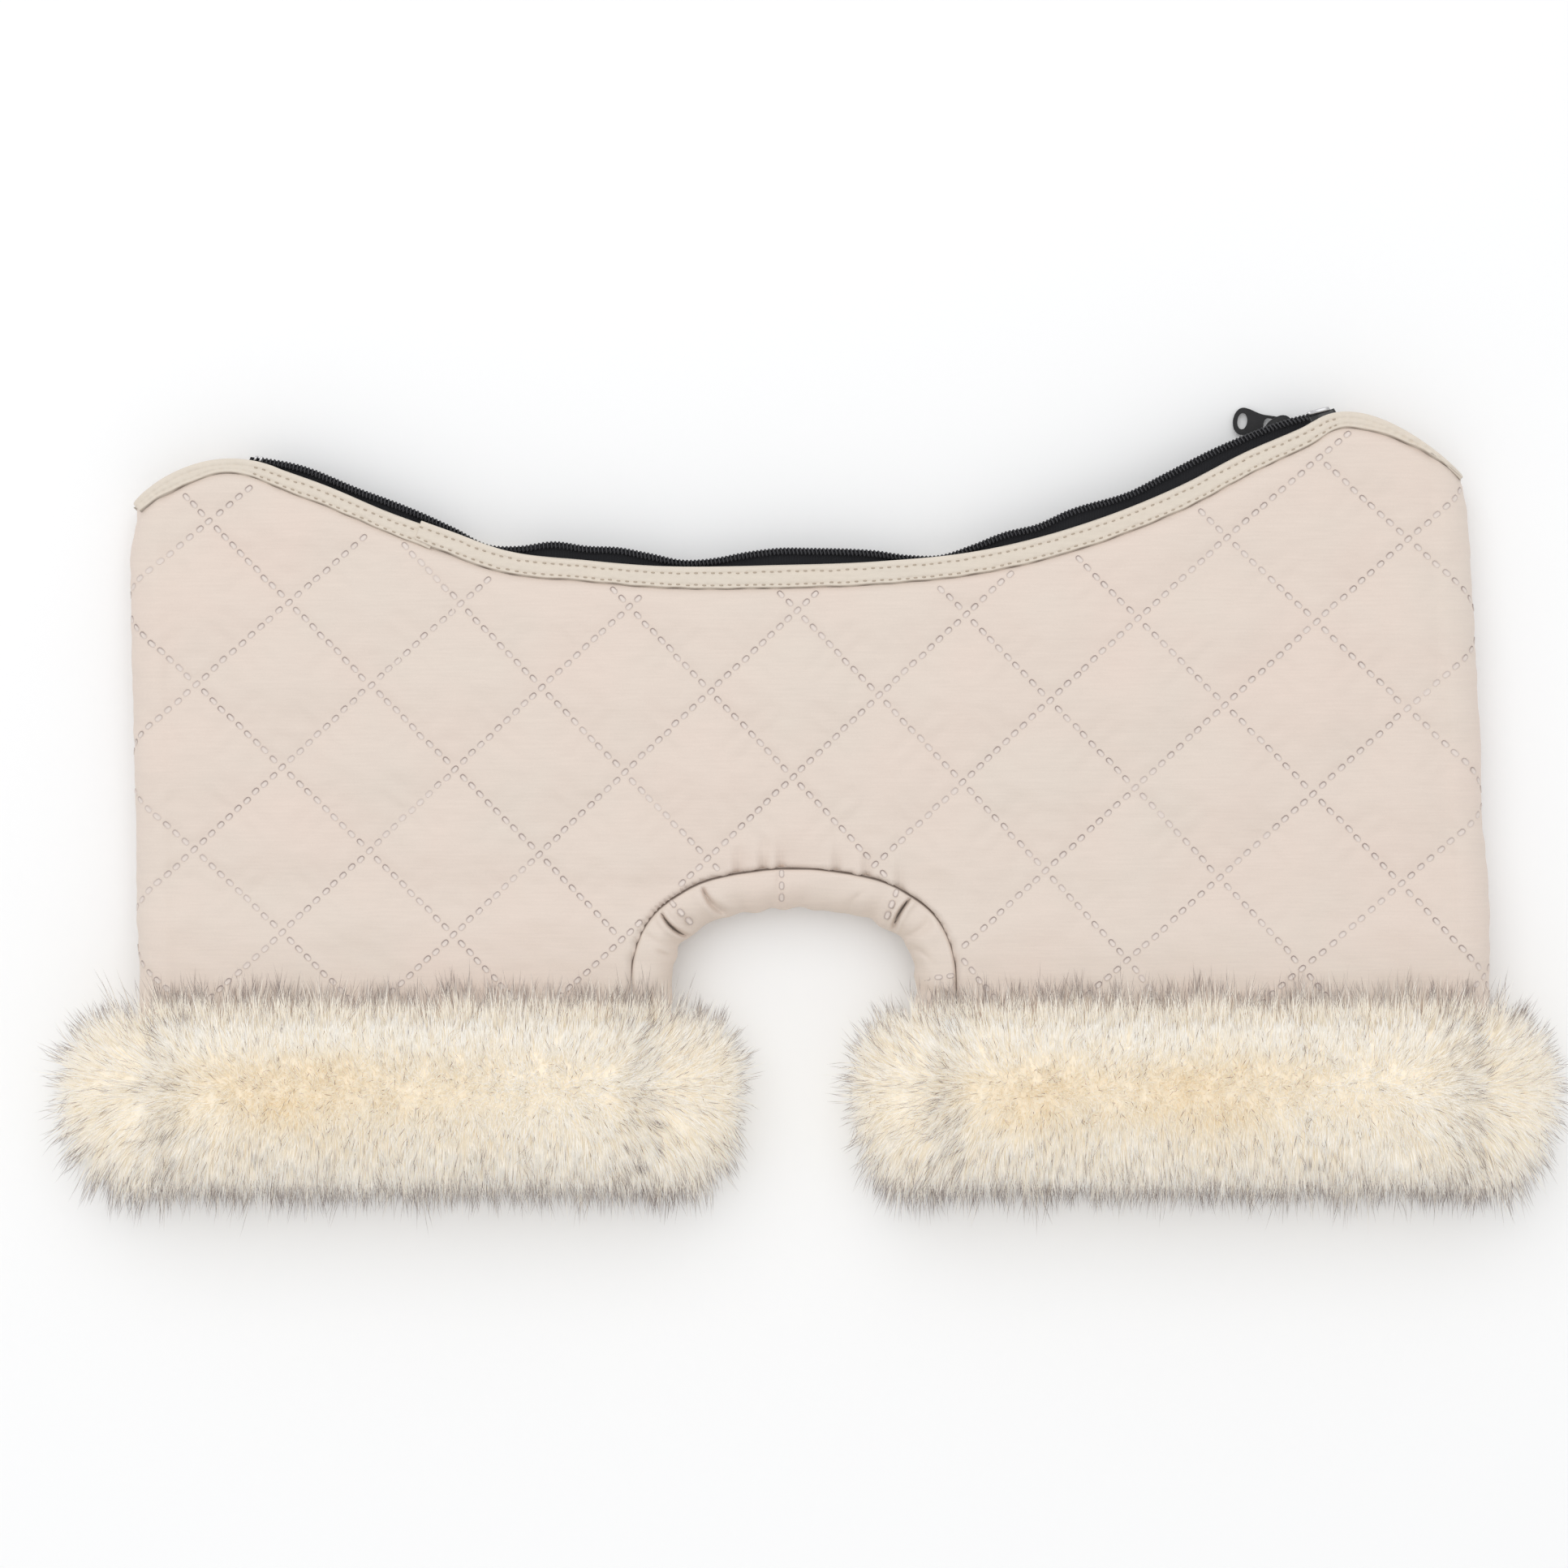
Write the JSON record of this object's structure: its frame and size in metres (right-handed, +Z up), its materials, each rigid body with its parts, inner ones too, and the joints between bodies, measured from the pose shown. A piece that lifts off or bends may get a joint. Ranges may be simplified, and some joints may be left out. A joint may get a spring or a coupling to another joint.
{
  "type": "stroller hand muff",
  "caption": "Flat quilted hand muff for a pushchair handlebar: zipped mouth along the top, arched lower edge and two fur-cuffed hand openings.",
  "frame": {"origin": "centre of the whole muff's bounding box in plan, on the surface that it lies on", "axes": "+X to the right along the mouth as seen from the front, +Y from the fur cuffs to the zipped mouth, +Z up out of the front panel"},
  "size_m": [0.5756, 0.3161, 0.0535],
  "materials": {
    "quilted_fabric": "matt beige woven polyester with a faint pink cast, diamond quilted over wadding",
    "binding_fabric": "matt beige binding strip with two rows of stitching",
    "fleece": "brushed off-white fleece",
    "fur": "long-pile cream faux fur with brown tips",
    "zip_tape": "black woven tape",
    "zip_coil": "black nylon coil, semi-gloss",
    "tape_end": "black film-laminated tape end",
    "slider_metal": "black painted zinc, satin",
    "bright_metal": "bright plated sheet metal"
  },
  "bodies": {
    "muff": {"quilted_front": "quilted_fabric", "quilted_back": "quilted_fabric", "lining_front": "fleece", "lining_back": "fleece", "arch_roll": "quilted_fabric", "binding_front_left": "binding_fabric", "binding_front_right": "binding_fabric", "binding_back": "binding_fabric", "fur_cuff_left": "fur", "fur_cuff_right": "fur", "zip_tape_front": "zip_tape", "zip_tape_back": "zip_tape", "zip_coil_front": "zip_coil", "zip_coil_back": "zip_coil", "zip_end_film_front": "tape_end", "zip_end_film_back": "tape_end", "zip_top_stop_front": "bright_metal", "zip_top_stop_back": "bright_metal", "zip_insertion_pin": "bright_metal", "zip_retainer_pin": "bright_metal", "zip_retainer_box": "slider_metal"},
    "zip_slider": {"zip_slider_body": "slider_metal", "zip_slider_bridge": "slider_metal"},
    "zip_pull_tab": {"zip_pull": "slider_metal"}
  },
  "joints": [
    {"name": "zip_run", "type": "hinge", "parent": "muff", "child": "zip_slider", "pos_m": [-0.0205, 0.5267, 0.0055], "axis": [0, 0, -1], "range_deg": [-0.5, 52.6]},
    {"name": "pull_swing", "type": "hinge", "parent": "zip_slider", "child": "zip_pull_tab", "pos_m": [0.18202, 0.14738, 0.00195], "axis": [-0.1392, -0.9903, 0], "range_deg": [0, 150]}
  ]
}
